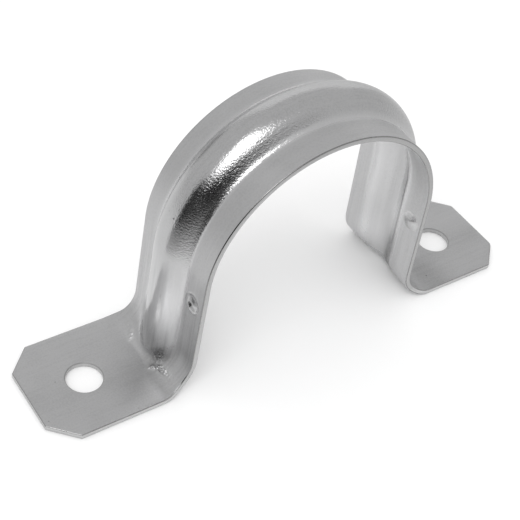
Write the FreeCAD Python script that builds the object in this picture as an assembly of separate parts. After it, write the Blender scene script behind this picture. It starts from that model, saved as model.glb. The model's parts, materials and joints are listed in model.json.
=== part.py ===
"""Two-hole conduit strap, pressed from one strip of zinc-plated sheet steel.

Frame: millimetres, +Z up, +X along the strap's length, +Y across its width.
The origin is on the wall side, midway between the two screw holes, and the
feet's undersides lie in the plane Z = 0.
"""
import math
import os

import FreeCAD
import Part

# The pipe that the strap holds, and how the arch fits over it
conduit_diameter = 44.2
clamp_clearance = 0.1
wall_gap = 0.9

# The strip
sheet_thickness = 1.0
foot_length = 19.4
foot_width = 21.2
arch_width = 19.3

# The two legs and the bends above the feet
leg_splay_degrees = 2.0
bend_radius = 6.8
widening_length = 5.0
widened_before_bend_end = 0.4

# The stiffening rib, pressed outwards along the arch and both legs
rib_height = 2.9
rib_width = 10.2
rib_off_centre = 0.5
rib_flank_degrees = 47.0
rib_foot_radius = 0.6
rib_toe_set_back = 1.5
straight_above_bend = 1.0
straight_below_bend = 0.3

# The feet: their screw holes, their cut corners and the one corner that is blunted
hole_from_end = 10.3
hole_diameter = 6.4
corner_cut = 4.4
blunted_corner_rounding = 1.6

# The two grip dimples, pressed inwards from the near band of each leg
dimple_diameter = 3.4
dimple_depth = 0.5
dimple_height = 18.6
dimple_from_edge = 2.7

# Sizes that follow from those above
inner_radius = conduit_diameter / 2 + clamp_clearance
arch_centre_height = conduit_diameter / 2 + wall_gap
splay = math.radians(leg_splay_degrees)
flank = math.radians(rib_flank_degrees)
half_foot = foot_width / 2
half_arch = arch_width / 2
rib_near_edge = rib_off_centre - rib_width / 2
rib_far_edge = rib_off_centre + rib_width / 2
bend_end_x = (
    inner_radius
    + bend_radius * (1 - math.sin(splay))
    + arch_centre_height * math.sin(splay)
) / math.cos(splay)
foot_start_x = bend_end_x + straight_below_bend
widened_x = bend_end_x - widened_before_bend_end
narrow_x = widened_x - widening_length
half_length = bend_end_x + foot_length
hole_x = half_length - hole_from_end
bend_height = bend_radius * (1 - math.sin(splay))
straight_leg = arch_centre_height - bend_height - straight_above_bend


def point(x, y, z):
    return FreeCAD.Vector(x, y, z)


def bend_end_at(offset, foot_level):
    """X where the bend of one face ends: the rib's toe ends nearer to the leg."""
    return bend_end_x - rib_toe_set_back * (offset - foot_level) / rib_height


def bend_radius_at(offset, foot_level):
    """Radius that leads from a leg moved out by offset to a foot at foot_level.

    It is what is left between the leg and the end of the bend, so a face that
    stands further out gets a tighter bend.
    """
    reach = bend_end_at(offset, foot_level) * math.cos(splay)
    reach += (foot_level - arch_centre_height) * math.sin(splay)
    return (reach - inner_radius - offset) / (1 - math.sin(splay))


def bend_points(offset, foot_level):
    """Start of the leg, the bend's upper end, middle and lower end, start of the foot."""
    radius = bend_radius_at(offset, foot_level)
    end_x = bend_end_at(offset, foot_level)
    bend_z = foot_level + radius
    leg_x, leg_z = math.cos(splay), math.sin(splay)
    half_turn = (math.pi / 2 + splay) / 2
    arch_radius = inner_radius + offset
    middle_x = end_x - radius * math.cos(half_turn)
    middle_z = bend_z - radius * math.sin(half_turn)
    return [
        (arch_radius * leg_x, arch_centre_height + arch_radius * leg_z),
        (end_x - radius * leg_x, bend_z - radius * leg_z),
        (middle_x, middle_z),
        (end_x, foot_level),
        (foot_start_x, foot_level),
    ]


def band_face_edges(offset, foot_level, y):
    """One face of the sheet at y, from the left foot over the arch to the right foot."""
    points = bend_points(offset, foot_level)
    left = [point(-x, y, z) for x, z in points]
    right = [point(x, y, z) for x, z in points]
    crown = point(0, y, arch_centre_height + inner_radius + offset)
    return [
        Part.makeLine(left[4], left[3]),
        Part.Arc(left[3], left[2], left[1]).toShape(),
        Part.makeLine(left[1], left[0]),
        Part.Arc(left[0], crown, right[0]).toShape(),
        Part.makeLine(right[0], right[1]),
        Part.Arc(right[1], right[2], right[3]).toShape(),
        Part.makeLine(right[3], right[4]),
    ]


def make_band(y_from, y_to):
    """A flat band beside the rib, over the arch and both legs."""
    inner = band_face_edges(0, 0, y_from)
    outer = band_face_edges(sheet_thickness, sheet_thickness, y_from)
    level = sheet_thickness
    right_end = Part.makeLine(point(foot_start_x, y_from, 0), point(foot_start_x, y_from, level))
    left_end = Part.makeLine(point(-foot_start_x, y_from, level), point(-foot_start_x, y_from, 0))
    outline = Part.Wire(inner + [right_end] + outer[::-1] + [left_end])
    return Part.Face(outline).extrude(point(0, y_to - y_from, 0))


def leg_point(offset, down, y):
    """Point on the right leg, a distance down from the arch and moved out by offset."""
    reach = inner_radius + offset
    x = reach * math.cos(splay) + down * math.sin(splay)
    z = arch_centre_height + reach * math.sin(splay) - down * math.cos(splay)
    return point(x, y, z)


def bend_wire(inner_offset, outer_offset, y):
    """Closed outline of the right bend at y, with a short stretch of leg and of foot."""
    inner = [point(x, y, z) for x, z in bend_points(inner_offset, 0)]
    outer = [point(x, y, z) for x, z in bend_points(outer_offset, sheet_thickness)]
    inner_top = leg_point(inner_offset, straight_leg, y)
    outer_top = leg_point(outer_offset, straight_leg, y)
    return Part.Wire([
        Part.makeLine(inner_top, inner[1]),
        Part.Arc(inner[1], inner[2], inner[3]).toShape(),
        Part.makeLine(inner[3], inner[4]),
        Part.makeLine(inner[4], outer[4]),
        Part.makeLine(outer[4], outer[3]),
        Part.Arc(outer[3], outer[2], outer[1]).toShape(),
        Part.makeLine(outer[1], outer_top),
        Part.makeLine(outer_top, inner_top),
    ])


def channel_crown_radius():
    """Radius of the channel's crown that joins flank, foot and crown smoothly."""
    foot_radius = rib_foot_radius + sheet_thickness
    drop = 1 - math.cos(flank)
    run = math.sin(flank)
    across = rib_width / 2
    both = (across * run - rib_height * math.cos(flank)) / (run * run - drop * math.cos(flank))
    return both - foot_radius


def rib_rise(distance, lift):
    """Height of one face of the rib at a distance from its centre line.

    lift is 0 on the channel side and the sheet's thickness on the outside.
    A round crown runs into a straight flank, and a small round into the band.
    """
    crown_radius = channel_crown_radius() + lift
    foot_radius = rib_foot_radius + sheet_thickness - lift
    crown_end = crown_radius * math.sin(flank)
    foot_start = rib_width / 2 - foot_radius * math.sin(flank)
    if distance <= crown_end:
        return rib_height + lift - crown_radius + math.sqrt(crown_radius**2 - distance**2)
    if distance < foot_start:
        crown_drop = crown_radius * (1 - math.cos(flank))
        return rib_height + lift - crown_drop - (distance - crown_end) * math.tan(flank)
    if distance < rib_width / 2:
        inward = rib_width / 2 - distance
        return lift + foot_radius - math.sqrt(foot_radius**2 - inward**2)
    return lift


def rib_stations():
    """Distances from the rib's centre line at which its section is drawn.

    They are the ends and middles of the crown, the flank and the foot round.
    """
    middle = sheet_thickness / 2
    crown_end = (channel_crown_radius() + middle) * math.sin(flank)
    foot_start = rib_width / 2 - (rib_foot_radius + middle) * math.sin(flank)
    ends = [0, crown_end, foot_start, rib_width / 2]
    stations = [0]
    for start, end in zip(ends, ends[1:]):
        stations += [(start + end) / 2, end]
    return stations


def make_rib_side():
    """Half of the rib: a smooth skin over the right bend, the leg and half the arch."""
    one_side = rib_stations()
    signed = [-distance for distance in one_side[:0:-1]] + one_side
    outlines = []
    for station in signed:
        inner = rib_rise(abs(station), 0)
        outer = rib_rise(abs(station), sheet_thickness)
        outlines.append(bend_wire(inner, outer, rib_off_centre + station))
    bend = Part.makeLoft(outlines, True, False)
    section = max(bend.Faces, key=lambda face: face.CenterOfMass.z)
    leg = section.extrude(leg_point(0, 0, 0) - leg_point(0, straight_leg, 0))
    section = section.translated(leg_point(0, 0, 0) - leg_point(0, straight_leg, 0))
    centre = point(0, 0, arch_centre_height)
    arch = section.revolve(centre, point(0, 1, 0), leg_splay_degrees - 90)
    return bend.multiFuse([leg, arch])


def mirrored(shape):
    """The same shape on the left side."""
    return shape.mirror(point(0, 0, 0), point(1, 0, 0))


def make_foot(side):
    """A flat foot, from below the bend to the end of the strip."""
    plate = Part.makeBox(half_length - foot_start_x, foot_width, sheet_thickness)
    start = foot_start_x if side > 0 else -half_length
    plate.translate(point(start, -half_foot, 0))
    return plate


def widening_arcs(side_x, side_y):
    """Two equal arcs in plan that ease from the arch's width out to the foot's."""
    across = half_foot - half_arch
    radius = (across**2 + widening_length**2) / (4 * across)
    half_angle = math.asin(widening_length / 2 / radius) / 2
    bulge_x = radius * math.sin(half_angle)
    bulge_y = radius * (1 - math.cos(half_angle))
    places = [
        (narrow_x, half_arch),
        (narrow_x + bulge_x, half_arch + bulge_y),
        (widened_x - widening_length / 2, half_foot - across / 2),
        (widened_x - bulge_x, half_foot - bulge_y),
        (widened_x, half_foot),
    ]
    points = [point(side_x * x, side_y * y, 0) for x, y in places]
    return [Part.Arc(*points[:3]).toShape(), Part.Arc(*points[2:]).toShape()]


def foot_sides(side_x):
    """The foot's outline in plan: two sides, two cut corners and the end."""
    straight = half_length - corner_cut
    end_half = half_foot - corner_cut
    corners = [
        (widened_x, half_foot),
        (straight, half_foot),
        (half_length, end_half),
        (half_length, -end_half),
        (straight, -half_foot),
        (widened_x, -half_foot),
    ]
    points = [point(side_x * x, y, 0) for x, y in corners]
    return [Part.makeLine(first, second) for first, second in zip(points, points[1:])]


def plan_envelope():
    """The strip's outline seen from above: a narrow arch that widens into the feet."""
    edges = foot_sides(-1) + foot_sides(1)
    for side_y in (-1, 1):
        edges += widening_arcs(-1, side_y) + widening_arcs(1, side_y)
        y = side_y * half_arch
        edges.append(Part.makeLine(point(-narrow_x, y, 0), point(narrow_x, y, 0)))
    height = arch_centre_height + inner_radius + rib_height + 2 * sheet_thickness
    outline = Part.Wire(Part.__sortEdges__(edges))
    prism = Part.Face(outline).extrude(point(0, 0, height))
    blunted = Part.Vertex(half_length, corner_cut - half_foot, height / 2)
    corner_edge = min(prism.Edges, key=lambda edge: edge.distToShape(blunted)[0])
    return prism.makeFillet(blunted_corner_rounding, [corner_edge])


def make_hole(side):
    """Cutter for the screw hole of one foot."""
    centre = point(side * hole_x, 0, -sheet_thickness)
    return Part.makeCylinder(hole_diameter / 2, 3 * sheet_thickness, centre)


def dimple_centre(side, outward):
    """Point at a distance outward from the inner face, where the dimple is pressed."""
    leg_start_z = arch_centre_height + inner_radius * math.sin(splay)
    inner_x = inner_radius * math.cos(splay) + (leg_start_z - dimple_height) * math.tan(splay)
    x = inner_x + outward * math.cos(splay)
    z = dimple_height + outward * math.sin(splay)
    return point(side * x, -half_arch + dimple_from_edge, z)


def press_dimple(strap, side):
    """Push one dimple inwards: a hollow outside and a bump of the same sheet inside."""
    ball_radius = ((dimple_diameter / 2) ** 2 + dimple_depth**2) / (2 * dimple_depth)
    outward = sheet_thickness + ball_radius - dimple_depth
    centre = dimple_centre(side, outward)
    ball = Part.makeSphere(ball_radius + sheet_thickness, centre)
    hollow = Part.makeSphere(ball_radius, centre)
    keep_radius = 2 * ball_radius
    keep = Part.makeCylinder(keep_radius, sheet_thickness / 2 + dimple_depth + outward)
    direction = point(-side * math.cos(splay), 0, -math.sin(splay))
    keep.Placement = FreeCAD.Placement(
        dimple_centre(side, sheet_thickness / 2),
        FreeCAD.Rotation(point(0, 0, 1), direction),
    )
    return strap.fuse(ball.common(keep)).cut(hollow)


def make_strap():
    """The whole strap as one solid."""
    near_band = make_band(-half_foot, rib_near_edge)
    far_band = make_band(rib_far_edge, half_foot)
    rib_side = make_rib_side()
    blank = near_band.multiFuse(
        [rib_side, mirrored(rib_side), far_band, make_foot(-1), make_foot(1)]
    )
    strap = blank.common(plan_envelope())
    for side in (-1, 1):
        strap = strap.cut(make_hole(side))
        strap = press_dimple(strap, side)
    return strap.removeSplitter()


strap = make_strap()
os.makedirs("parts", exist_ok=True)
strap.exportStep("parts/strap.step")
box = strap.BoundBox
print("solids", len(strap.Solids), "faces", len(strap.Faces), "valid", strap.isValid())
print("volume mm3", round(strap.Volume, 1))
print("length", round(2 * half_length, 3), "hole spacing", round(2 * hole_x, 3))
print("box", [round(v, 3) for v in (box.XMin, box.YMin, box.ZMin, box.XMax, box.YMax, box.ZMax)])
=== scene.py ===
# %% [markdown]
# # A two-hole conduit strap in zinc-plated steel
# This lesson dresses a pressed steel strap: two flat feet, two bends, an arch that
# goes over a round conduit, and a stiffening rib that was pressed outwards along it.
# The construction model is the frame. It gives the true size and place of everything,
# so the first step is to load it and note the box that the finished strap must fill.

# %% Load the frame
import json
import math

import bpy
import numpy as np
from mathutils import Matrix, Vector


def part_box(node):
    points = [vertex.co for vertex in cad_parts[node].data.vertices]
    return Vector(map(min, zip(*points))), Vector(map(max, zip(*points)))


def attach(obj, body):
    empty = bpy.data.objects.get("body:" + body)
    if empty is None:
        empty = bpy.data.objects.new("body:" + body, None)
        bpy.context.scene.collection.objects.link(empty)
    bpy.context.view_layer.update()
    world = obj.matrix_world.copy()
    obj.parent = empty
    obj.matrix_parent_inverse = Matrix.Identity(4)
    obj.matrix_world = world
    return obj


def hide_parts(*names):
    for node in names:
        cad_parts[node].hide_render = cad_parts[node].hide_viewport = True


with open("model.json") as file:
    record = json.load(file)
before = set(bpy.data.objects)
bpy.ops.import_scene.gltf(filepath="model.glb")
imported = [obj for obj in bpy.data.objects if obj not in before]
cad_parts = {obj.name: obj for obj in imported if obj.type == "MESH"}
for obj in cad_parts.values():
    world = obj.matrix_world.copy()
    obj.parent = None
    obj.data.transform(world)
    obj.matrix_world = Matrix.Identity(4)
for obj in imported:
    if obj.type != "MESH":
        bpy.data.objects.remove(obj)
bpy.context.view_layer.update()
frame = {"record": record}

# %% [markdown]
# ## Sizes of the strip
# The mounts in the record state the sizes that matter to a user: the radius of the
# saddle, the radius and distance of the screw holes. The outer corners come from the
# box of the solid. What is left are the maker's own sizes, such as the thickness of
# the sheet. We could measure them on the solid, but a size that stands here by its
# name is easier to follow, so they are repeated from the same drawing.

# %% Sizes of the strip
MM = 0.001
mounts = {mount["name"]: mount for mount in frame["record"]["mounts"]}
_, high_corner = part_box("strap")

saddle_radius = mounts["conduit_saddle"]["dims"]["r_mm"] * MM
saddle_height = mounts["conduit_saddle"]["pos_m"][2]
hole_radius = mounts["screw_holes"]["dims"]["hole_r_mm"] * MM
hole_x = mounts["screw_holes"]["dims"]["spacing_x_mm"] * MM / 2
half_length = high_corner.x
half_foot = high_corner.y
half_arch = mounts["conduit_saddle"]["dims"]["length_mm"] * MM / 2

sheet = 1.0 * MM
leg_splay = math.radians(2.0)
bend_radius = 6.8 * MM
widening_length = 5.0 * MM
widened_before_bend_end = 0.4 * MM
corner_cut = 4.4 * MM
corner_rounding = 0.4 * MM
blunted_corner_rounding = 1.6 * MM
print("length", 2 * half_length / MM, "mm, foot width", 2 * half_foot / MM, "mm")

# %% [markdown]
# ## Sizes of the rib
# The rib stiffens the sheet, as a fold stiffens paper. Its section is a round crown
# between two straight flanks, and it sits a little off the middle of the strip. Its
# lower end, the toe, lies in the bend, a little nearer to the leg than the bend's own
# end. A few sizes say all that, so they are named here and used wherever the rib is.

# %% Sizes of the rib
rib_height = 2.9 * MM
rib_half_width = 5.1 * MM
rib_off_centre = 0.5 * MM
rib_flank = math.radians(47.0)
rib_foot_radius = 0.6 * MM
rib_toe_set_back = 1.5 * MM
print("rib", 2 * rib_half_width / MM, "mm wide and", rib_height / MM, "mm high")

# %% [markdown]
# ## The bend and the foot
# A pressed strap is easiest to think of as a strip that runs along a path: over the
# arch, down a leg, round a bend, onto a foot. The rib is the same path, only further
# out: the further out, the less room is left for the bend, so it gets tighter. We
# could sweep a profile along one path instead, but a sweep would carry the rib on
# across the foot, and the real rib dies out in the bend.

# %% Ends of the bend
straight_below_bend = 0.3 * MM
bend_end_x = (
    saddle_radius + bend_radius * (1 - math.sin(leg_splay)) + saddle_height * math.sin(leg_splay)
) / math.cos(leg_splay)
foot_start_x = bend_end_x + straight_below_bend


def bend_end_at(rise):
    """X where the bend ends. The rib's toe ends nearer to the leg than the bands do."""
    return bend_end_x - rib_toe_set_back * (rise - sheet) / rib_height


def bend_radius_at(rise):
    """Radius of the outer face in the bend, for a face that stands out by rise.

    It is what is left between the leg, moved out by rise, and the end of the bend.
    """
    reach = bend_end_at(rise) * math.cos(leg_splay) + (sheet - saddle_height) * math.sin(leg_splay)
    return (reach - saddle_radius - rise) / (1 - math.sin(leg_splay))


print("bend radius of the bands", round(bend_radius_at(sheet) / MM, 2), "mm")
print("bend radius of the rib's crown", round(bend_radius_at(sheet + rib_height) / MM, 2), "mm")

# %% [markdown]
# ## The shape along the strip
# One number, the station, says how far along the strip we are. From 0 to 1 the strip
# goes from the crown down to the leg, from 1 to 2 down the leg, from 2 to 3 round the
# bend and from 3 to 4 a little way onto the foot. A minus sign means the left side.
# A curve object could hold this path too, but a formula also takes the rise, and
# works on a whole grid of stations and rises at once.

# %% Path of the outer face
def along_strip(station, rise):
    """Place, in X and Z, of the outer face.

    On the arch it is a circle of the saddle's radius plus rise. On the leg it is
    the straight line between the end of that circle and the start of the bend.
    In the bend it is a circle whose centre lies above the end of the bend.
    Below the bend it is the level foot.
    """
    side = np.where(station < 0, -1.0, 1.0)
    part = np.abs(station)
    on_arch = np.clip(part, 0, 1)
    down_leg = np.clip(part - 1, 0, 1)
    round_bend = np.clip(part - 2, 0, 1)
    onto_foot = np.clip(part - 3, 0, 1)

    arch_angle = math.pi / 2 - (math.pi / 2 - leg_splay) * on_arch
    reach = saddle_radius + rise
    arch_x = reach * np.cos(arch_angle)
    arch_z = saddle_height + reach * np.sin(arch_angle)

    radius = bend_radius_at(rise)
    end_x = bend_end_at(rise)
    bend_angle = leg_splay + (math.pi / 2 - leg_splay) * round_bend
    bend_x = end_x - radius * np.cos(bend_angle) + (foot_start_x - end_x) * onto_foot
    bend_z = sheet + radius - radius * np.sin(bend_angle)

    leg_start_x = reach * math.cos(leg_splay)
    leg_start_z = saddle_height + reach * math.sin(leg_splay)
    leg_end_x = end_x - radius * math.cos(leg_splay)
    leg_end_z = sheet + radius - radius * math.sin(leg_splay)
    leg_x = leg_start_x + (leg_end_x - leg_start_x) * down_leg
    leg_z = leg_start_z + (leg_end_z - leg_start_z) * down_leg

    x = np.where(part <= 1, arch_x, np.where(part <= 2, leg_x, bend_x))
    z = np.where(part <= 1, arch_z, np.where(part <= 2, leg_z, bend_z))
    return side * x, z


for name, station in (("crown", 0.0), ("end of arch", 1.0), ("start of bend", 2.0), ("foot", 4.0)):
    x, z = along_strip(np.array(station), np.array(sheet))
    print(name, "x", round(float(x) / MM, 2), "z", round(float(z) / MM, 2), "mm")

# %% [markdown]
# ## The shape across the strip
# Across the strip there are three zones: the near band, the rib and the far band.
# The rib's section is a round crown that runs into two straight flanks, and a small
# round where each flank meets its band. That small round matters for the looks: it
# catches the light as the thin bright line that shows a pressed part to be pressed.
# A drawn profile could hold this section, but a formula gives the rise at any place
# across. The crown's radius is no size of its own. It is worked out so that crown,
# flanks and small rounds add up to the rib's width and height.

# %% Section of the rib
channel_foot_radius = rib_foot_radius + sheet
flank_drop = 1 - math.cos(rib_flank)
flank_run = math.sin(rib_flank)
crown_radius = (
    (rib_half_width * flank_run - rib_height * math.cos(rib_flank))
    / (flank_run**2 - flank_drop * math.cos(rib_flank))
    - channel_foot_radius
    + sheet
)


def rib_rise(y):
    """How far the outer face stands out from the saddle's circle, at a place across.

    Crown: the rib's height, less the sagitta of the crown's circle. Flank: a
    straight slope. Foot: the sagitta of the small round. Band: the sheet alone.
    """
    distance = np.abs(y - rib_off_centre)
    crown_end = crown_radius * flank_run
    foot_start = rib_half_width - rib_foot_radius * flank_run
    crown = rib_height + sheet - crown_radius + np.sqrt(np.maximum(crown_radius**2 - distance**2, 0))
    slope = rib_height + sheet - crown_radius * flank_drop - (distance - crown_end) * math.tan(rib_flank)
    inward = np.clip(rib_half_width - distance, 0, rib_foot_radius)
    foot = sheet + rib_foot_radius - np.sqrt(rib_foot_radius**2 - inward**2)
    return np.where(distance <= crown_end, crown, np.where(distance < foot_start, slope, foot))


print("crown radius", round(crown_radius / MM, 2), "mm")

# %% [markdown]
# ## The toe of the rib
# A press can't end a rib sharply, because the sheet would tear. So towards the bend
# the crisp section turns into a softer and slightly wider swell. Sculpting could do
# it, but a blend of two formulas is smooth everywhere and keeps the rib's height. The
# blend begins a third of the way down the leg and ends just inside the bend.

# %% Section of the toe
toe_width_share = 1.4
toe_start = 1.3
toe_end = 2.1


def toe_rise(y):
    """The softer swell of the rib's toe: one wave of a cosine, a little wider than the rib."""
    share = np.clip(np.abs(y - rib_off_centre) / (toe_width_share * rib_half_width), 0, 1)
    return sheet + rib_height * (0.5 + 0.5 * np.cos(math.pi * share))


def rise_at(station, y):
    """Rise of the outer face: the rib's section on the arch, easing to the toe in the bend.

    The share of the toe is a smooth step between the toe's start and its end.
    """
    turn = np.clip((np.abs(station) - toe_start) / (toe_end - toe_start), 0, 1)
    share = turn * turn * (3 - 2 * turn)
    return rib_rise(y) + share * (toe_rise(y) - rib_rise(y))


rib_edge = np.array(rib_off_centre + rib_half_width)
for name, station in (("arch", 0.0), ("toe", toe_end)):
    print("rise at the rib's edge,", name, round(float(rise_at(station, rib_edge)) / MM, 2), "mm")

# %% [markdown]
# ## The widening of the feet
# Seen from above the strip is narrow in the arch and wide in the feet. On each side
# two equal circles lead from one width to the other, so the outline has no corner. A
# curve could draw that line, but the grid needs the width at any place along the
# strip, and a formula gives it at once.

# %% Width along the strip
def half_width_at(x):
    """Half the strip's width at a place along it: narrow in the arch, wide in the feet.

    In plan, two equal circles ease from one to the other over the widening's length.
    """
    across = half_foot - half_arch
    radius = (across**2 + widening_length**2) / (4 * across)
    widened_x = bend_end_x - widened_before_bend_end
    done = np.clip(widened_x - np.abs(x), 0, widening_length)
    near_foot = half_foot - (radius - np.sqrt(radius**2 - np.minimum(done, widening_length / 2) ** 2))
    left = widening_length - done
    near_arch = half_arch + (radius - np.sqrt(radius**2 - np.minimum(left, widening_length / 2) ** 2))
    return np.where(done < widening_length / 2, near_foot, near_arch)


for name, x in (("arch", 0.0), ("foot", foot_start_x)):
    print("width of the", name, round(2 * float(half_width_at(x)) / MM, 2), "mm")

# %% [markdown]
# ## Grip dimples
# On the near band of each leg a punch left a small round dimple. It grips the conduit
# before the screws go in. A dimple is a change of height by distance from its centre,
# so it is a formula too: a shallow cap pressed in, with a fine lip of pushed-up metal.
# Behind it the sheet swells. A Boolean with a sphere would leave a sharp rim instead.

# %% Height of a dimple
dimple_radius = 1.7 * MM
dimple_depth = 0.5 * MM
dimple_height = 18.6 * MM
dimple_y = -half_arch + 2.7 * MM
dimple_steepness = 0.55
dimple_lip = 0.12 * MM
dimple_lip_width = 0.28 * MM
swell_radius = dimple_radius + 0.2 * MM
swell_power = 1.2
far_away = 1.0


def bell(values, middle, reach):
    """One at the middle, about a third at the reach on either side, and soon nothing."""
    return np.exp(-(((values - middle) / reach) ** 2))


def dimple_distance(points, aside=0.0, above=0.0):
    """Distance from the middle of the dimple on the point's leg, seen from the end.

    Aside and above move the place that is measured from. Points that are not on a
    leg are far away.
    """
    on_leg = (np.abs(points[:, 0]) > saddle_radius - sheet) & (points[:, 2] < saddle_height)
    distance = np.hypot(points[:, 1] - dimple_y - aside, points[:, 2] - dimple_height - above)
    return np.where(on_leg, distance, far_away)


def dimple_outside(distance):
    """Change of the outer face, inwards negative: a cap with steep sides and a fine lip.

    Cap: a parabola, made steeper at its rim. Lip: a narrow bell on the rim.
    """
    share = np.clip(1 - (distance / dimple_radius) ** 2, 0, 1)
    cap = share * (1 + dimple_steepness * (1 - share))
    lip = bell(distance, middle=dimple_radius, reach=dimple_lip_width)
    return dimple_lip * lip - dimple_depth * cap


def dimple_inside(distance):
    """Change of the inner face behind a dimple: a smooth swell, a little wider."""
    return -dimple_depth * np.clip(1 - (distance / swell_radius) ** 2, 0, 1) ** swell_power


print("dimple", dimple_depth / MM, "mm deep, its middle", round(dimple_y / MM, 2), "mm across")

# %% [markdown]
# ## Rows and columns of the strip
# The outer face of arch, legs and bends is a grid. Its rows lie across the strip, one
# behind the other, and its columns run along it. An even grid would need many more
# points for the same smoothness. So rows are closer on the legs, which carry the
# dimples and the rib's toe, and columns are closer on the rib's crown, where the
# reflection of the lamp shows every unevenness.

# %% Rows and columns
row_steps = {"arch": 60, "leg": 65, "bend": 24, "start of the foot": 6}
side_rows = [
    np.linspace(part, part + 1, steps, endpoint=False) for part, steps in enumerate(row_steps.values())
]
one_side = np.concatenate([*side_rows, [len(row_steps)]])
stations = np.concatenate([-one_side[:0:-1], one_side])

near_steps = 22
rib_steps = 42
far_steps = 16
crowding = 0.2
crowding_power = 5
near_band = np.linspace(0, 1, near_steps, endpoint=False)
rib_places = np.linspace(-1, 1, rib_steps + 1)
far_band = np.linspace(0, 1, far_steps + 1)[1:]
crowded_places = (1 - crowding) * rib_places + crowding * rib_places**crowding_power
rib_columns = rib_off_centre + rib_half_width * crowded_places


def across_strip(half_width):
    """Places across the strip, one row for each half width that is given."""
    near_start = -half_width[:, None]
    near = near_start + (rib_columns[0] - near_start) * near_band
    rib = np.repeat(rib_columns[None, :], len(half_width), axis=0)
    far = rib_columns[-1] + (half_width[:, None] - rib_columns[-1]) * far_band
    return np.hstack([near, rib, far])


band_x, _ = along_strip(stations, np.full(stations.shape, sheet))
grid_y = across_strip(half_width_at(band_x))
grid_station = np.repeat(stations[:, None], grid_y.shape[1], axis=1)
print("grid", grid_y.shape[0], "rows by", grid_y.shape[1], "columns")

# %% [markdown]
# ## Points of the pressed strip
# Now the formulas meet: the section gives each point's rise, and the path gives its
# place. All points are worked out as whole arrays, which is fast and leaves no loop
# to get wrong. This is the outer face alone, still without its dimples.

# %% Points of the pressed strip
grid_rise = rise_at(grid_station, grid_y)
grid_x, grid_z = along_strip(grid_station, grid_rise)
strip_points = np.stack([grid_x, grid_y, grid_z], axis=-1)
print("highest point", round(float(strip_points[..., 2].max()) / MM, 2), "mm")

# %% [markdown]
# ## Outline of a foot
# A foot is a flat plate with two cut corners. The shears leave its corners slightly
# round, and one corner of the right foot was knocked blunter than the others. A Bevel
# could round them, but the next step builds its loops on this outline and needs to
# know its points. So each corner is an arc that touches both sides, and the straight
# sides are filled with evenly spaced points.

# %% Outline of a foot
outline_spacing = 0.5 * MM
arc_points = 7


def rounded_corner(before, corner, after, radius):
    """Points of the circle that touches both sides of a corner.

    They lie between the two touching points, spread evenly by angle.
    """
    first = (before - corner) / np.linalg.norm(before - corner)
    second = (after - corner) / np.linalg.norm(after - corner)
    half_angle = math.acos(float(first @ second)) / 2
    middle = (first + second) / np.linalg.norm(first + second)
    centre = corner + middle * radius / math.sin(half_angle)
    start = corner + first * radius / math.tan(half_angle) - centre
    end = corner + second * radius / math.tan(half_angle) - centre
    turn = np.linspace(0, 1, arc_points)[:, None]
    sweep = math.pi - 2 * half_angle
    return centre + (np.sin((1 - turn) * sweep) * start + np.sin(turn * sweep) * end) / math.sin(sweep)


def spread(start, end):
    """Evenly spaced points strictly between two places."""
    count = max(int(np.linalg.norm(end - start) / outline_spacing), 1)
    return start + (end - start) * (np.arange(1, count) / count)[:, None]


def foot_outline(blunted):
    """Points of the foot's free outline, from the far end of the bend to the near end."""
    side = half_foot - corner_cut
    straight = half_length - corner_cut
    corners = np.array([
        [foot_start_x, half_foot],
        [straight, half_foot],
        [half_length, side],
        [half_length, -side],
        [straight, -half_foot],
        [foot_start_x, -half_foot],
    ])
    radii = [corner_rounding, corner_rounding, blunted, corner_rounding]
    pieces = []
    last = corners[0]
    for index, radius in enumerate(radii, start=1):
        arc = rounded_corner(corners[index - 1], corners[index], corners[index + 1], radius)
        pieces += [spread(last, arc[0]), arc]
        last = arc[-1]
    pieces.append(spread(last, corners[-1]))
    return np.vstack(pieces)


for blunted in (corner_rounding, blunted_corner_rounding):
    print("outline of a foot has", len(foot_outline(blunted)), "points of its own")

# %% [markdown]
# ## Loops of a foot
# The foot's grid is made of loops: the first is the outline, the last is the rim of
# the screw hole, and each point runs straight from one to the other. A Boolean could
# cut the hole, but it would leave long thin faces that shade badly. The side of the
# outline that lies at the bend uses the strip's own points, so both are one surface.

# %% Loops of a foot
foot_loops = 14
loop_crowding = 0.8


def foot_points(side, bend_y, blunted):
    """Loops from the outline to the hole's rim. The first points are those at the bend.

    Each point moves in a straight line from the outline towards the place on the
    rim that lies in the same direction from the hole's centre.
    """
    at_bend = np.stack([np.full(bend_y.shape, foot_start_x), bend_y], axis=1)
    outline = np.vstack([at_bend, foot_outline(blunted)])
    centre = np.array([hole_x, 0.0])
    direction = outline - centre
    direction /= np.linalg.norm(direction, axis=1)[:, None]
    rim = centre + hole_radius * direction
    share = np.linspace(0, 1, foot_loops + 1)[:, None, None] ** loop_crowding
    loops = outline + (rim - outline) * share
    level = np.full(loops.shape[:2] + (1,), sheet)
    return np.concatenate([side * loops[..., :1], loops[..., 1:], level], axis=-1)


left_loops = foot_points(-1, strip_points[0, :, 1], corner_rounding)
right_loops = foot_points(1, strip_points[-1, :, 1], blunted_corner_rounding)
print("left foot", left_loops.shape[:2], "right foot", right_loops.shape[:2], "loops and points")

# %% [markdown]
# ## One surface from three grids
# The strip and the two feet are joined by arrays of point numbers. A quad is four
# neighbours of a grid, so all faces come from four shifted copies of such an array.
# Merging three meshes by distance would do it too, but here the shared points are
# known, so nothing has to be guessed.

# %% Join the grids
def quads(index, closed=False, flip=False):
    """Faces between neighbouring rows and columns of an array of point numbers."""
    if closed:
        index = np.hstack([index, index[:, :1]])
    faces = np.stack([index[:-1, :-1], index[:-1, 1:], index[1:, 1:], index[1:, :-1]], axis=-1)
    faces = faces.reshape(-1, 4)
    return faces[:, ::-1] if flip else faces


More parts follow.
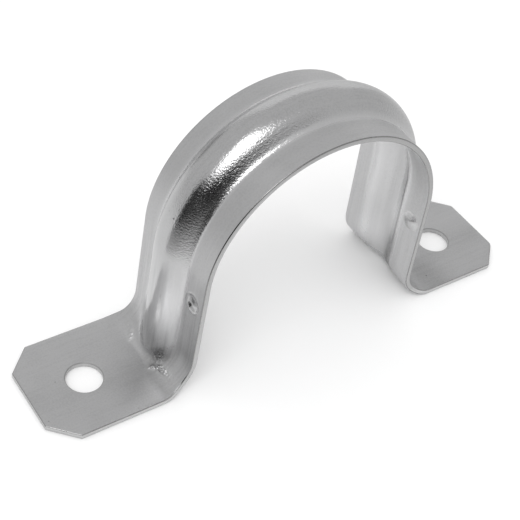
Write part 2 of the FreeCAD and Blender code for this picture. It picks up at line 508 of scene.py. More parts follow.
strip_index = np.arange(strip_points.shape[0] * strip_points.shape[1]).reshape(strip_points.shape[:2])
shared_count = strip_index.shape[1]
all_points = [strip_points.reshape(-1, 3)]
all_faces = [quads(strip_index, flip=True)]
total = strip_index.size
for loops, row, flip in ((left_loops, 0, False), (right_loops, -1, True)):
    own = np.ones(loops.shape[:2], bool)
    own[0, :shared_count] = False
    index = np.full(loops.shape[:2], -1)
    index[0, :shared_count] = strip_index[row]
    index[own] = total + np.arange(own.sum())
    total += int(own.sum())
    all_points.append(loops[own])
    all_faces.append(quads(index, closed=True, flip=flip))
points = np.vstack(all_points)
faces = np.vstack(all_faces)
print("outer face:", len(points), "points,", len(faces), "quads")

# %% [markdown]
# ## From one face to a sheet
# The inner face lies one thickness below the outer one, along its normals. A Solidify
# modifier does the same, but behind a dimple it would fold the metal over itself, so
# here the inner face gets a smooth swell of its own. The rim is found from the faces:
# an edge that only one face uses lies on the border.

# %% Both faces of the sheet
def point_normals(points, faces):
    """Outward direction at each point: the sum of its faces' directions, each by its area."""
    corners = points[faces]
    directions = np.cross(corners[:, 2] - corners[:, 0], corners[:, 3] - corners[:, 1])
    normals = np.zeros_like(points)
    for column in range(4):
        np.add.at(normals, faces[:, column], directions)
    return normals / np.linalg.norm(normals, axis=1)[:, None]


def rim_faces(faces, count):
    """Quads between the borders of the outer face and of the inner face, count points further on."""
    edges = np.vstack([faces[:, [0, 1]], faces[:, [1, 2]], faces[:, [2, 3]], faces[:, [3, 0]]])
    forward = edges[:, 0] * count + edges[:, 1]
    backward = edges[:, 1] * count + edges[:, 0]
    start, end = edges[~np.isin(forward, backward)].T
    return np.stack([end, start, start + count, end + count], axis=1)


normals = point_normals(points, faces)
from_dimple = dimple_distance(points)
outer_points = points + normals * dimple_outside(from_dimple)[:, None]
inner_points = points + normals * (dimple_inside(from_dimple) - sheet)[:, None]
sheet_points = np.vstack([outer_points, inner_points])
rim = rim_faces(faces, len(points))
sheet_faces = np.vstack([faces, faces[:, ::-1] + len(points), rim])
on_rim = np.arange(len(sheet_faces)) >= 2 * len(faces)
print("sheet:", len(sheet_points), "points,", len(sheet_faces), "quads,", len(rim), "of them on the rim")

# %% [markdown]
# ## The strap's mesh
# Blender takes points and faces as flat lists of numbers. Handing over whole arrays
# with foreach_set is far faster than adding faces one by one. The strap has three
# slots for materials: its faces, its cut edge, and the rolled corner between the two,
# which a modifier adds later. The rim gets the slot of the cut edge.

# %% Make the strap's mesh
faces_slot, edge_slot, corner_slot = 0, 1, 2


def mesh_from_arrays(name, points, faces):
    """Puts arrays of points and quads into a new mesh with smooth faces."""
    mesh = bpy.data.meshes.new(name)
    mesh.vertices.add(len(points))
    mesh.vertices.foreach_set("co", points.astype(np.float32).ravel())
    mesh.loops.add(faces.size)
    mesh.loops.foreach_set("vertex_index", faces.astype(np.int32).ravel())
    mesh.polygons.add(len(faces))
    mesh.polygons.foreach_set("loop_start", np.arange(0, faces.size, 4, dtype=np.int32))
    mesh.polygons.foreach_set("use_smooth", np.ones(len(faces), bool))
    mesh.update(calc_edges=True)
    return mesh


def add_object(name, data):
    """A new object in the scene, at the origin and unturned."""
    thing = bpy.data.objects.new(name, data)
    bpy.context.scene.collection.objects.link(thing)
    return thing


strap_mesh = mesh_from_arrays("pressed_strap", sheet_points, sheet_faces)
strap_mesh.polygons.foreach_set("material_index", np.where(on_rim, edge_slot, faces_slot).astype(np.int32))
print("mesh repaired by Blender:", strap_mesh.validate())
strap = add_object("pressed_strap", strap_mesh)

# %% [markdown]
# ## Place on the flat strip
# Draw marks run along the strip and bend with it. A pattern on plain coordinates
# would cut straight through the arch, and an image would need an unwrapped map. So
# each point carries its place on the strip as it was before it was bent: how far
# along it lies, added up from row to row, and how far across.

# %% Place on the flat strip
def strip_lengths(side_points):
    """Distance along the strip from the crown, added up from row to row."""
    steps = np.linalg.norm(np.diff(side_points, axis=0), axis=-1)
    return np.concatenate([np.zeros((1, steps.shape[1])), np.cumsum(steps, axis=0)])


middle_row = len(one_side) - 1
right_lengths = strip_lengths(strip_points[middle_row:])
left_lengths = -strip_lengths(strip_points[middle_row::-1])[:0:-1]
strip_along = np.vstack([left_lengths, right_lengths]).ravel()
band_length = right_lengths[-1, 0]
foot_x = points[len(strip_along):, 0]
foot_along = np.sign(foot_x) * (band_length + np.abs(foot_x) - foot_start_x)
place_along = np.concatenate([strip_along, foot_along])
flat_place = np.stack([place_along, points[:, 1], np.zeros(len(points))], axis=1)
print("strip from the crown to the end of a foot:", round(float(place_along.max()) / MM, 1), "mm")

# %% [markdown]
# ## Where the finish follows the metal
# The finish of a pressed part follows its forms: polished where the die rubbed, dull
# where nothing touched it, wrinkled where the sheet was pushed together. We could
# paint such zones by hand. Here each zone is a number from 0 to 1 at every point,
# worked out from the point's place, so it always fits the form. The bell that made
# the dimples' lip makes spots and stripes too, and a ramp makes soft edges.

# %% Helper for soft edges
def ramp(values, start, end):
    """Nothing up to the start, one from the end on, and a straight line between them."""
    return np.clip((values - start) / (end - start), 0, 1)


from_middle = np.abs(points[:, 0])
sideways = points[:, 1]
height = points[:, 2]
across_rib = sideways - rib_off_centre
on_right = np.where(points[:, 0] > 0, 1.0, 0.0)
print("share of the points on the right side:", round(float(on_right.mean()), 3))

# %% [markdown]
# ## Wrinkled metal and painted shade
# Where the rib dies out, the sheet has too much metal and throws fine wrinkles in a
# bow round the toe, stronger on the near side. Low on the toe and in the core of each
# dimple it is pinched and rough, and there it also gets painted shade. They are far too
# fine to model, so these numbers tell the material where to bend the normals and where
# to paint the shade.

# %% Wrinkled metal and painted shade
toe_x = bend_end_x - 3.3 * MM
wrinkle_bow = 4.0 * MM
far_side_share = 0.45
# Pinched places get painted shade: a dark spot low on the toe and in the core of each dimple.
pinch_place = (toe_x, -2.6 * MM, 2.6 * MM)
pinch_around = 0.45
pinch_core = 0.35
dimple_core_shade = 0.6

beside_rib = np.abs(across_rib) / rib_half_width
wrinkle_x = toe_x + wrinkle_bow * bell(across_rib, middle=0, reach=3.4 * MM)
drawn = bell(from_middle, middle=wrinkle_x, reach=0.55 * MM)
drawn *= ramp(beside_rib, start=0.6, end=0.725)
drawn *= bell(beside_rib, middle=0.9, reach=0.7)
drawn *= bell(height, middle=sheet, reach=2.5 * MM)
drawn *= np.where(across_rib < 0, 1.0, far_side_share)

pinch_distance = np.linalg.norm(np.stack([from_middle, sideways, height], axis=1) - pinch_place, axis=1)
core_distance = dimple_distance(points, aside=0.5 * MM, above=0.1 * MM)
pinched = pinch_around * bell(pinch_distance, middle=0, reach=2.4 * MM)
pinched += pinch_core * bell(pinch_distance, middle=0, reach=0.9 * MM)
pinched = np.maximum(pinched, dimple_core_shade * bell(core_distance, middle=0, reach=0.7 * MM))
print("most drawn", round(float(drawn.max()), 2), "most pinched", round(float(pinched.max()), 2))

# %% [markdown]
# ## Polished and speckled metal
# The die polished the rib's crown, the dimples and the creases where the flanks meet
# the bands, so they mirror more sharply. On the arch the stretched plating shows its
# crystals as speckle, most on the crown's near side. Lower down the die scraped fine
# lines along the leg, more on the left one. The feet stayed dull, except in wrinkles.
# One roughness for all would be simpler, but these borders are what makes a part look
# pressed.

# %% Polished and speckled metal
least_speckle = 0.4
scraped_on_right = 0.35
hole_margin = 0.02 * MM

# Along the creases the metal is polished, and the faces' tone there also gets a painted highlight.
crease = bell(np.abs(across_rib), middle=rib_half_width - 0.25 * MM, reach=0.6 * MM)
crease *= ramp(height, start=3 * MM, end=7 * MM)
crown = ramp(rib_rise(sideways), start=1.3 * MM, end=2.1 * MM)
crown *= ramp(height, start=1.2 * MM, end=3.2 * MM)
in_dimple = 1 - ramp(from_dimple, start=dimple_radius + 0.1 * MM, end=dimple_radius + 0.4 * MM)
crown = np.maximum(crown, in_dimple)
speckled = crown * ramp(height, start=22 * MM, end=32 * MM)
speckled *= np.maximum(ramp(-across_rib, start=1.2 * MM, end=2.7 * MM), least_speckle)
scraped = ramp(height, start=1.5 * MM, end=3.5 * MM) * (1 - ramp(height, start=18 * MM, end=26 * MM))
scraped *= 1 - (1 - scraped_on_right) * on_right
# Low round the feet the faces are dull, and the cut edge there gets painted light in its tone.
dull = (1 - ramp(height, start=1 * MM, end=3 * MM)) * (1 - drawn)
# On the walls of the holes the cut edge is rough and gets a painted highlight in its tone.
from_hole = np.hypot(from_middle - hole_x, sideways)
hole_wall = np.where(from_hole < hole_radius + hole_margin, 1.0, 0.0)
print("points on the polished crown:", int((crown > 0.5).sum()), "on the holes' walls:", int(hole_wall.sum()))

# %% [markdown]
# ## Painted light and shade on the metal
# Some stretches of the metal are painted lighter or darker than their surroundings, in
# place of light and shade that the studio doesn't give: a painted highlight as a bright
# stripe on the leg's crown, painted shade above the toe and on the foot beside the bend,
# painted light low in the right leg's channel and painted shade high on its near band.
# More cards in the studio could make some of them, but a card also changes all the
# rest. So they were placed one by one, and one number holds them all, negative for darker.

# %% Painted light and shade on the metal
highlight_stripe_tone = 0.5
toe_shade_tone = -0.25
bend_shade_tone = -0.17
channel_light_tone = 0.35
band_shade_tone = -0.2

# Painted highlight stripe on the leg, painted shade above the toe and beside the bend, painted light in the
# channel, painted shade on the near band.
painted_highlight_stripe = bell(across_rib, middle=-2.2 * MM, reach=1.8 * MM) * bell(height, middle=15 * MM, reach=4.6 * MM)
painted_toe_shade = bell(across_rib, middle=-2.4 * MM, reach=2.4 * MM) * bell(height, middle=5.5 * MM, reach=3.6 * MM)
painted_bend_shade = bell(from_middle, middle=31 * MM, reach=4 * MM) * bell(height, middle=sheet, reach=1.5 * MM)
painted_bend_shade *= ramp(-sideways, start=2 * MM, end=5 * MM)
painted_channel_light = bell(across_rib, middle=3.4 * MM, reach=3 * MM) * bell(height, middle=6.5 * MM, reach=4 * MM)
painted_band_shade = bell(sideways, middle=-7 * MM, reach=3.5 * MM) * bell(height, middle=33 * MM, reach=8 * MM)

painted_light_and_shade = highlight_stripe_tone * painted_highlight_stripe + toe_shade_tone * painted_toe_shade + bend_shade_tone * painted_bend_shade
painted_light_and_shade += on_right * (channel_light_tone * painted_channel_light + band_shade_tone * painted_band_shade)
print("tone changes from", round(float(painted_light_and_shade.min()), 2), "to", round(float(painted_light_and_shade.max()), 2))

# %% [markdown]
# ## Numbers for the material to read
# Blender stores such numbers as attributes of the mesh, and an Attribute node reads
# them by name. Painted colours could hold them too, but a name says what its number
# means. The sheet has its inner points after its outer ones, so each array is written
# twice in a row.

# %% Store the numbers
finish_numbers = {
    "drawn": drawn,
    "crease": crease,
    "crown": crown,
    "pinched": pinched,
    "dull": dull,
    "hole_wall": hole_wall,
    "speckled": speckled,
    "scraped": scraped,
    # The painted light and shade of the legs.
    "painted_light_and_shade": painted_light_and_shade,
}

place_layer = strap_mesh.attributes.new("strip_place", "FLOAT_VECTOR", "POINT")
place_layer.data.foreach_set("vector", np.tile(flat_place, (2, 1)).astype(np.float32).ravel())
for name, values in finish_numbers.items():
    layer = strap_mesh.attributes.new(name, "FLOAT", "POINT")
    layer.data.foreach_set("value", np.tile(values, 2).astype(np.float32))
print("stored with each point:", ["strip_place", *finish_numbers])

# %% [markdown]
# ## Broken edges
# The rim is sheared metal with slightly broken edges, so a small Bevel rounds the two
# corners of the edge. Without it the edge would look like cut paper. The round corner
# has a material of its own: it is smooth and has a darker colour than the cut, which
# draws a thin dark line along the edge.
# Blender's overlap clamp is off: it would shrink the bevel everywhere to suit the
# narrow faces in the round corners of the feet, although nothing overlaps there.

# %% Broken edges
broken_edges = strap.modifiers.new("broken edges", "BEVEL")
broken_edges.width = 0.16 * MM
broken_edges.use_clamp_overlap = False
broken_edges.segments = 3
broken_edges.limit_method = "ANGLE"
broken_edges.angle_limit = math.radians(60)
broken_edges.material = corner_slot
print("edges broken by", round(broken_edges.width / MM, 2), "mm")

# %% [markdown]
# ## Helpers for node trees
# The strap has three metals: its faces, its cut edge and the rolled corner between
# them. They share a few effects, each built once as a node group. Nodes could be
# placed and wired one by one, but then the wiring hides the idea. These helpers
# place a node, feed its inputs, do sums and blend colours, so that a material reads
# like a recipe.

# %% Helpers for node trees
def feed(tree, value, socket):
    """Links an output socket to an input, or sets the input to a plain value."""
    if isinstance(value, bpy.types.NodeSocket):
        tree.links.new(value, socket)
    else:
        socket.default_value = value


def add_node(tree, kind, settings=None, inputs=None):
    """A new node with its settings, its inputs fed by name."""
    node = tree.nodes.new(kind)
    for label, value in (settings or {}).items():
        setattr(node, label, value)
    for label, value in (inputs or {}).items():
        feed(tree, value, node.inputs[label])
    return node


def calculate(tree, operation, first, second, clamp=False):
    """A Math node on two sockets or numbers. Returns its output socket."""
    node = add_node(tree, "ShaderNodeMath", {"operation": operation, "use_clamp": clamp})
    feed(tree, first, node.inputs[0])
    feed(tree, second, node.inputs[1])
    return node.outputs[0]


def blend_colours(tree, value, stops):
    """Colour by a number. Stops are pairs of a number and the colour there, from 0 up to 1."""
    blend = tree.nodes.new("ShaderNodeValToRGB")
    elements = blend.color_ramp.elements
    for position, _ in stops[1:-1]:
        elements.new(position)
    for element, (_, colour) in zip(elements, stops):
        element.color = (*colour, 1.0)
    feed(tree, value, blend.inputs[0])
    return blend.outputs[0]


def new_group(name, inputs, outputs):
    """A shader node group with named sockets, each with its kind. Returns it and its two ends."""
    group = bpy.data.node_groups.new(name, "ShaderNodeTree")
    for label, kind in inputs.items():
        group.interface.new_socket(label, in_out="INPUT", socket_type=kind)
    for label, kind in outputs.items():
        group.interface.new_socket(label, in_out="OUTPUT", socket_type=kind)
    return group, group.nodes.new("NodeGroupInput").outputs, group.nodes.new("NodeGroupOutput").inputs


def noise(tree, coordinates, scale, detail, roughness, middle=0.5):
    """Noise texture less its middle, so it swings round zero. Scale counts its humps in a metre."""
    inputs = {"Vector": coordinates, "Scale": scale, "Detail": detail, "Roughness": roughness}
    strength = add_node(tree, "ShaderNodeTexNoise", inputs=inputs).outputs[0]
    return calculate(tree, "SUBTRACT", strength, middle)


print("helpers for node trees are ready")

# %% [markdown]
# ## Zinc mottle
# Zinc settles on steel as crystals. From afar they give soft patches, from near a
# fine grain that breaks up the rim of each reflection. Two noise textures of very
# different size do that. One texture with many octaves would do it as well, but then
# patches and grain couldn't be used apart.

# %% Zinc mottle group
grain_size = 0.32 * MM


def make_mottle():
    """Patches, a few millimetres wide, and grain as wide as Grain Size. Both centre on zero."""
    group, start, end = new_group(
        "zinc mottle",
        {"Coordinates": "NodeSocketVector", "Grain Size": "NodeSocketFloat"},
        {"Patches": "NodeSocketFloat", "Grain": "NodeSocketFloat"},
    )
    grain_scale = calculate(group, "DIVIDE", 1.0, start["Grain Size"])
    patches = noise(group, start["Coordinates"], scale=260.0, detail=3.0, roughness=0.55)
    grain = noise(group, start["Coordinates"], scale=grain_scale, detail=2.5, roughness=0.6)
    feed(group, patches, end["Patches"])
    feed(group, grain, end["Grain"])
    return group


zinc_mottle = make_mottle()
print("made", zinc_mottle.name, "with grain of", round(grain_size / MM, 2), "mm")

# %% [markdown]
# ## Draw marks
# The tool left fine lines along the strip. They are noise on the flat strip's own
# coordinates, stretched lengthwise about thirty times. A wave texture would look too
# regular, because real marks begin and end anywhere.

# %% Draw mark group
lengthwise_squeeze = 0.035


def make_draw_marks():
    """Fine lines along the strip: noise whose lengthwise coordinate is squeezed."""
    group, start, end = new_group(
        "draw marks", {"Strip Place": "NodeSocketVector"}, {"Marks": "NodeSocketFloat"}
    )
    squeeze = {"Vector": start["Strip Place"], "Scale": (lengthwise_squeeze, 1.0, 1.0)}
    squeezed = add_node(group, "ShaderNodeMapping", inputs=squeeze).outputs[0]
    marks = noise(group, squeezed, scale=1500.0, detail=2.5, roughness=0.65)
    feed(group, marks, end["Marks"])
    return group


draw_marks = make_draw_marks()
print("made", draw_marks.name, "stretched", round(1 / lengthwise_squeeze), "times")

# %% [markdown]
# ## Pits
# Here and there the plating has a small dark pit. A Voronoi texture divides space
# into cells. Each pit is the centre of a cell, and each cell has a random colour, so
# keeping only cells above a limit makes pits rare. Noise could not keep them round.

# %% Pit group
pit_spacing = 2.4 * MM
pit_narrowness = 13.0
pit_rarity = 0.86


def make_pits():
    """Few small round pits: the centres of the rare cells of a Voronoi pattern."""
    group, start, end = new_group(
        "pits",
        {"Coordinates": "NodeSocketVector", "Spacing": "NodeSocketFloat"},
        {"Pits": "NodeSocketFloat"},
    )
    scale = calculate(group, "DIVIDE", 1.0, start["Spacing"])
    pattern = {"Vector": start["Coordinates"], "Scale": scale, "Randomness": 1.0}
    cells = add_node(group, "ShaderNodeTexVoronoi", {"feature": "F1"}, pattern)
    from_centre = calculate(group, "MULTIPLY", cells.outputs["Distance"], pit_narrowness)
    near_centre = calculate(group, "SUBTRACT", 1.0, from_centre, clamp=True)
    cell_colour = {"Color": cells.outputs["Color"]}
    lot = add_node(group, "ShaderNodeSeparateColor", inputs=cell_colour).outputs[0]
    rare = calculate(group, "GREATER_THAN", lot, pit_rarity)
    feed(group, calculate(group, "MULTIPLY", near_centre, rare), end["Pits"])
    return group


pits = make_pits()
print("made", pits.name, "in one of", round(1 / (1 - pit_rarity)), "cells")

# %% [markdown]
# ## The effects of a metal
# A metal follows patterns and stored numbers. The patterns read Object coordinates or
# the flat strip, so they stay on the metal from whichever side it is seen. A list of
# strengths then says how much each effect counts. Every sum could be wired by hand,
# but a list can be read aloud: "marks x scraped" is draw marks where the die scraped.

# %% Effects and their strengths
def read_attribute(tree, name):
    """Attribute node for what is stored with the points by that name."""
    return add_node(tree, "ShaderNodeAttribute", {"attribute_name": name})


def read_patterns(tree):
    """Output sockets of all patterns, by name. The folds alone are not centred on zero."""
    strip_place = read_attribute(tree, "strip_place").outputs["Vector"]
    place = tree.nodes.new("ShaderNodeTexCoord").outputs["Object"]
    patterns = {"folds": noise(tree, place, scale=2000.0, detail=2.0, roughness=0.6, middle=0.0)}
    for group, inputs in (
        (zinc_mottle, {"Coordinates": place, "Grain Size": grain_size}),
        (draw_marks, {"Strip Place": strip_place}),
        (pits, {"Coordinates": place, "Spacing": pit_spacing}),
    ):
        for output in add_node(tree, "ShaderNodeGroup", {"node_tree": group}, inputs).outputs:
            patterns[output.name.lower()] = output
    return patterns


def follow(tree, effects, start, strengths):
    """The start, plus each effect times its strength. An x between two names multiplies them.

    A name that no pattern has is read as a number stored with the points.
    """
    total = start
    for names, strength in strengths.items():
        part = strength
        for name in names.split(" x "):
            if name not in effects:
                effects[name] = read_attribute(tree, name).outputs["Fac"]
            part = calculate(tree, "MULTIPLY", part, effects[name])
        total = calculate(tree, "ADD", total, part)
    return total


print("a metal can follow", len(finish_numbers), "stored numbers and", len(bpy.data.node_groups), "groups")

# %% [markdown]
# ## Zinc-plated steel
# The metal is a Principled shader with full Metallic. Tone, roughness and bump are
# each a start value plus effects times their strengths, so a finish is described by
# three short lists. An image could hold all this too, but it would blur up close and
# tie the finish to one size. The bump is tiny: enough to break up the edges of
# reflections, never a visible relief.

# %% A metal from its lists
middle_tone = 0.5
dark_share = 0.35
bright_share = 1.35
bump_distance = 0.03 * MM
relief = {
    "grain": 0.30,
    "grain x crease": 2.2,
    "grain x speckled": 2.0,
    "marks": 1.0,
    "marks x dull": -0.7,
    "folds x drawn": 16.0,
    "folds x pinched": 16.0,
    "pits": -3.0,
}


def metal_colour(tree, colour, tone):
    """Colour by tone: dark metal at 0, the plain colour in the middle, bright metal at 1."""
    dark = [part * dark_share for part in colour]
    bright = [min(part * bright_share, 1.0) for part in colour]
    return blend_colours(tree, tone, [(0.0, dark), (middle_tone, colour), (1.0, bright)])


def empty_tree(owner, output_kind):
    """Clears the node tree of a material or a world. Returns it and its Surface input."""
    owner.use_nodes = True
    tree = owner.node_tree
    tree.nodes.clear()
    return tree, tree.nodes.new(output_kind).inputs["Surface"]


def make_zinc(name, colour, tone_strengths, roughness, roughness_strengths):
    """Metal whose tone, roughness and bump follow the plating and the pressing."""
    material = bpy.data.materials.new(name)
    tree, surface = empty_tree(material, "ShaderNodeOutputMaterial")
    effects = read_patterns(tree)
    tone = follow(tree, effects, middle_tone, tone_strengths)
    rough = follow(tree, effects, roughness, roughness_strengths)
    bump = {"Strength": 1.0, "Distance": bump_distance, "Height": follow(tree, effects, 0.0, relief)}
    shader = add_node(tree, "ShaderNodeBsdfPrincipled", inputs={
        "Metallic": 1.0,
        "Base Color": metal_colour(tree, colour, tone),
        "Roughness": add_node(tree, "ShaderNodeClamp", inputs={"Value": rough}).outputs[0],
        "Normal": add_node(tree, "ShaderNodeBump", inputs=bump).outputs[0],
    })
    feed(tree, shader.outputs[0], surface)
    return material


print("the bump is made of", list(relief))

# %% [markdown]
# ## The three metals of the strap
# The faces are bright and softly glossy, and sharper where the die polished them. They
# also carry a painted highlight along the creases and the painted light and shade of the
# legs. The cut edge is greyer, because shearing drags the zinc off. Round the feet it
# gets painted light, and the walls of the punched holes get a painted highlight and are
# rough. The rolled corner is the darkest and smoothest. All three follow the same
# plating, with painted shade where the metal is pinched. One material with switches could
# hold all three, but a list for each is easier to read and to change.

# %% Three metals
# Plating for all three, with painted shade where the metal is pinched.
plating_tone = {
    "patches": 0.10, "grain": 0.22, "marks": 0.12, "marks x scraped": 0.32, "pits": -0.55, "pinched": -0.42,
}
# Faces: a painted highlight along the creases, and the painted light and shade of the legs.
faces_tone = {**plating_tone, "crease": 0.30, "painted_light_and_shade": 1.0}
# Edges: painted light low round the feet, and a painted highlight on the walls of the holes.
edge_tone = {**plating_tone, "dull": 0.45, "hole_wall": 0.5}

plating_roughness = {"patches": 0.20, "pits": 0.2}
faces_roughness = {**plating_roughness, "crown": -0.24, "crease": -0.22, "drawn": -0.26, "dull": 0.05}
edge_roughness = {**plating_roughness, "hole_wall": 0.35}

zinc_colour = (0.70, 0.70, 0.705)
cut_colour = (0.58, 0.58, 0.58)
corner_colour = (0.40, 0.40, 0.40)
for material in (
    make_zinc("zinc-plated steel", zinc_colour, faces_tone, 0.42, faces_roughness),
    make_zinc("sheared edge", cut_colour, edge_tone, 0.34, edge_roughness),
    make_zinc("rolled corner", corner_colour, edge_tone, 0.26, edge_roughness),
):
    strap.data.materials.append(material)
print("materials:", [material.name for material in strap.data.materials])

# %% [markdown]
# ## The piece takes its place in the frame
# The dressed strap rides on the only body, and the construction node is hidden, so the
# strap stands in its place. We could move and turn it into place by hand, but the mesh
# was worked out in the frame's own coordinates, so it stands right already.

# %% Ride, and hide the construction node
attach(strap, "root")
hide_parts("strap")
print("the strap stands at", tuple(strap.location))

# %% [markdown]
# ## Tones for mirrored rays
# Bright metal has hardly a look of its own: it shows its surroundings. So the studio
# is made for two viewers. The camera sees a plain white room, and mirrored rays see
# greys that fade with distance, as on the top of a small table. Light Path tells the
# two apart, which is simpler and quieter than building a real room.

# %% Tones for mirrored rays
def tone_by_distance(tree, reach, tones):
    """A grey that depends on the distance from the strap.

    Tones are pairs of a share of the reach, from 0 to 1, and the grey there.
    """
    place = tree.nodes.new("ShaderNodeTexCoord").outputs["Object"]
    length = add_node(tree, "ShaderNodeVectorMath", {"operation": "LENGTH"})
    feed(tree, place, length.inputs[0])
    share = calculate(tree, "DIVIDE", length.outputs["Value"], reach)
    return blend_colours(tree, share, [(stop, (tone, tone, tone)) for stop, tone in tones])


def other_for_mirrors(tree, plain, mirrored):
    """One shader for the camera and soft light, another one for mirrored rays."""
    mix = tree.nodes.new("ShaderNodeMixShader")
    is_mirrored = tree.nodes.new("ShaderNodeLightPath").outputs["Is Glossy Ray"]
    for index, shader in enumerate((is_mirrored, plain, mirrored)):
        feed(tree, shader, mix.inputs[index])
    return mix.outputs[0]


def paint(tree, colour):
    """A matt surface of one colour, or of the colour that a socket gives."""
    return add_node(tree, "ShaderNodeBsdfDiffuse", inputs={"Color": colour}).outputs[0]


print("helpers for the studio are ready")

# %% [markdown]
# ## Floor
# The floor is a plain pale sheet. The camera sees it almost white, and it keeps the
# strap's shadow. A white background alone would be simpler, but on it the strap would
# seem to float. The floor lies a hair below the feet, so that the two surfaces don't
# fight for the same place.

# %% Floor
floor_drop = 0.02 * MM
floor_half = 1.2
floor_colour = (0.95, 0.95, 0.95, 1.0)
floor_reach = 0.25
floor_tones = [(0.0, 0.88), (0.24, 0.63), (1.0, 0.52)]


def make_floor():
    """A large flat sheet just under the feet."""
    corners = np.array([[-1, -1], [1, -1], [1, 1], [-1, 1]]) * floor_half
    floor_points = np.column_stack([corners, np.full(4, -floor_drop)])
    floor = add_object("floor", mesh_from_arrays("floor", floor_points, np.array([[0, 1, 2, 3]])))
    material = bpy.data.materials.new("pale floor")
    tree, surface = empty_tree(material, "ShaderNodeOutputMaterial")
    table = paint(tree, tone_by_distance(tree, floor_reach, floor_tones))
    feed(tree, other_for_mirrors(tree, paint(tree, floor_colour), table), surface)
    floor.data.materials.append(material)
    return floor


floor = make_floor()
print("floor of", 2 * floor_half, "m")

# %% [markdown]
# ## Room
# The room around is white for the camera and for soft light, and a plain mid grey for
# mirrored rays. That grey is what much of the strap shows. A picture of a real room
# could light it too, but it would put windows and furniture into the metal.

# %% Room
room_white = 1.0
room_grey = 0.50


def make_room():
    """World light: white in general, grey for mirrored rays."""
    world = bpy.data.worlds.new("room")
    bpy.context.scene.world = world
    tree, surface = empty_tree(world, "ShaderNodeOutputWorld")
    lights = []
    for tone in (room_white, room_grey):
        light = {"Color": (tone, tone, tone, 1), "Strength": 1.0}
        lights.append(add_node(tree, "ShaderNodeBackground", inputs=light).outputs[0])
    feed(tree, other_for_mirrors(tree, *lights), surface)


make_room()
print("room for mirrored rays:", room_grey)

# %% [markdown]
# ## Soft box
# One large soft lamp stands high on the camera's side. It draws the white streak on
# the rib: the wider the lamp, the wider the streak. A point lamp would leave a hard
# thin line instead. A lamp is given by its direction and distance from the strap, as
# in a real studio, because that is how one thinks about what the metal will mirror.

# %% Soft box
strap_middle = Vector((0, 0, 25 * MM))


def from_strap(azimuth, elevation, distance):
    """A place seen from the strap: azimuth 0 is straight behind it, 90 is to its right."""
    azimuth, elevation = math.radians(azimuth), math.radians(elevation)
    flat = distance * math.cos(elevation)
    up = distance * math.sin(elevation)
    return strap_middle + Vector((flat * math.sin(azimuth), flat * math.cos(azimuth), up))


def make_lamp(name, azimuth, elevation, distance, size, power):
    """A soft rectangular lamp that looks at the strap."""
    lamp = bpy.data.lights.new(name, "AREA")
    lamp.shape = "RECTANGLE"
    lamp.size, lamp.size_y = size
    lamp.energy = power
    thing = add_object(name, lamp)
    thing.location = from_strap(azimuth, elevation, distance)
    thing.rotation_euler = (strap_middle - thing.location).to_track_quat("-Z", "Y").to_euler()
    return thing


soft_box = make_lamp("soft box", azimuth=-122, elevation=53, distance=0.55, size=(0.29, 0.31), power=0.74)
print("soft box at", [round(part, 3) for part in soft_box.location])

# %% [markdown]
# ## Cards
# Photographers stand cards beside shiny things, and so do we: a weaker lamp would
# darken all of the metal, but a card darkens one place. A dark card on the camera's
# side draws the dark patch below the streak, and a shade card beside it carries the
# patch on, paler, along the near flank. A pale card and a low grey card stand behind
# the strap, for the metal that faces away from the lamp. Only mirrored rays see the
# cards, so they take no light away and cast no shadow.

# %% Cards
card_columns = 25
above_floor = 0.1 * MM


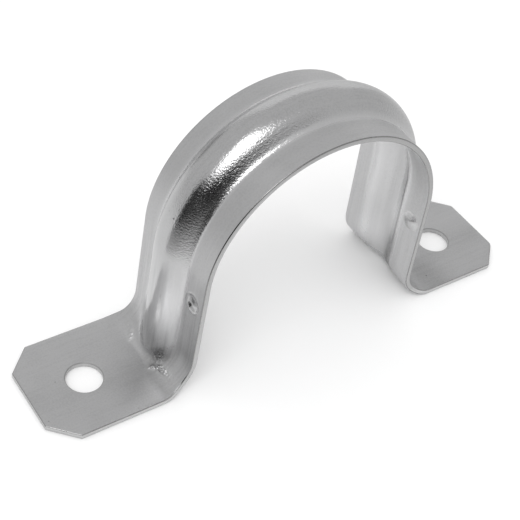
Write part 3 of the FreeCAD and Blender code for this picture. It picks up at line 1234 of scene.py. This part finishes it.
def make_card(name, azimuths, start, end, heights, tones):
    """A curved card that lies on the floor from start to end, and stands up there.

    Its points lie in three rows, each on a circle round the strap. The upper edge
    runs from one height to another.
    """
    turns = np.radians(np.linspace(azimuths[0], azimuths[1], card_columns))
    low_edge = np.full(card_columns, above_floor)
    upper_edge = np.linspace(heights[0], heights[1], card_columns)
    rows = []
    for distance, level in ((start, low_edge), (end, low_edge), (end, upper_edge)):
        rows.append(np.stack([distance * np.sin(turns), distance * np.cos(turns), level], axis=1))
    card_index = np.arange(len(rows) * card_columns).reshape(len(rows), card_columns)
    card = add_object(name, mesh_from_arrays(name, np.vstack(rows), quads(card_index)))
    material = bpy.data.materials.new(name)
    tree, surface = empty_tree(material, "ShaderNodeOutputMaterial")
    feed(tree, paint(tree, tone_by_distance(tree, end, tones)), surface)
    card.data.materials.append(material)
    card.visible_camera = False
    card.visible_diffuse = False
    card.visible_shadow = False
    return card


def even(tone):
    """Tones of a card that is the same all over."""
    return [(0.0, tone), (1.0, tone)]


dark_tones = [(0.0, 0.40), (0.43, 0.23), (0.80, 0.03), (1.0, 0.02)]
make_card("dark card", (-176, -82), start=0.068, end=0.30, heights=(0.23, 0.16), tones=dark_tones)
make_card("shade card", (-208, -176), start=0.28, end=0.30, heights=(0.31, 0.235), tones=even(0.25))
make_card("pale card", (6, 62), start=0.38, end=0.40, heights=(0.38, 0.22), tones=even(0.64))
make_card("grey card", (-14, 5), start=0.16, end=0.30, heights=(0.06, 0.06), tones=even(0.26))

# %% [markdown]
# ## Camera
# The strap is seen from its left front and from above, with the camera a little
# tilted. The place was found by matching corners, holes and edges of the photograph.
# The camera is built from three directions, back, right and up, because a tilt about
# the line of sight is awkward to give as angles round the world's axes.

# %% Camera
camera_azimuth = math.radians(-40.9)
camera_elevation = math.radians(44.0)
camera_roll = math.radians(10.6)
camera_distance = 208.8 * MM
camera_target = Vector((-4.96, 0, 14.3)) * MM
camera_lens = 83.0
camera_sensor = 36.0
nearest_seen = 5 * MM


def make_camera():
    """A camera on a sphere round its target, turned about its own line of sight."""
    back = Vector((
        math.sin(camera_azimuth) * math.cos(camera_elevation),
        -math.cos(camera_azimuth) * math.cos(camera_elevation),
        math.sin(camera_elevation),
    ))
    level = Vector((math.cos(camera_azimuth), math.sin(camera_azimuth), 0))
    upward = back.cross(level)
    right = math.cos(camera_roll) * level + math.sin(camera_roll) * upward
    up = back.cross(right)
    data = bpy.data.cameras.new("camera")
    data.sensor_width = camera_sensor
    data.lens = camera_lens
    data.clip_start = nearest_seen
    camera = add_object("camera", data)
    turn = Matrix((right, up, back)).transposed().to_4x4()
    camera.matrix_world = Matrix.Translation(camera_target + camera_distance * back) @ turn
    bpy.context.scene.camera = camera


make_camera()
bpy.context.scene.view_settings.view_transform = "Standard"
print("camera with a", camera_lens, "mm lens")
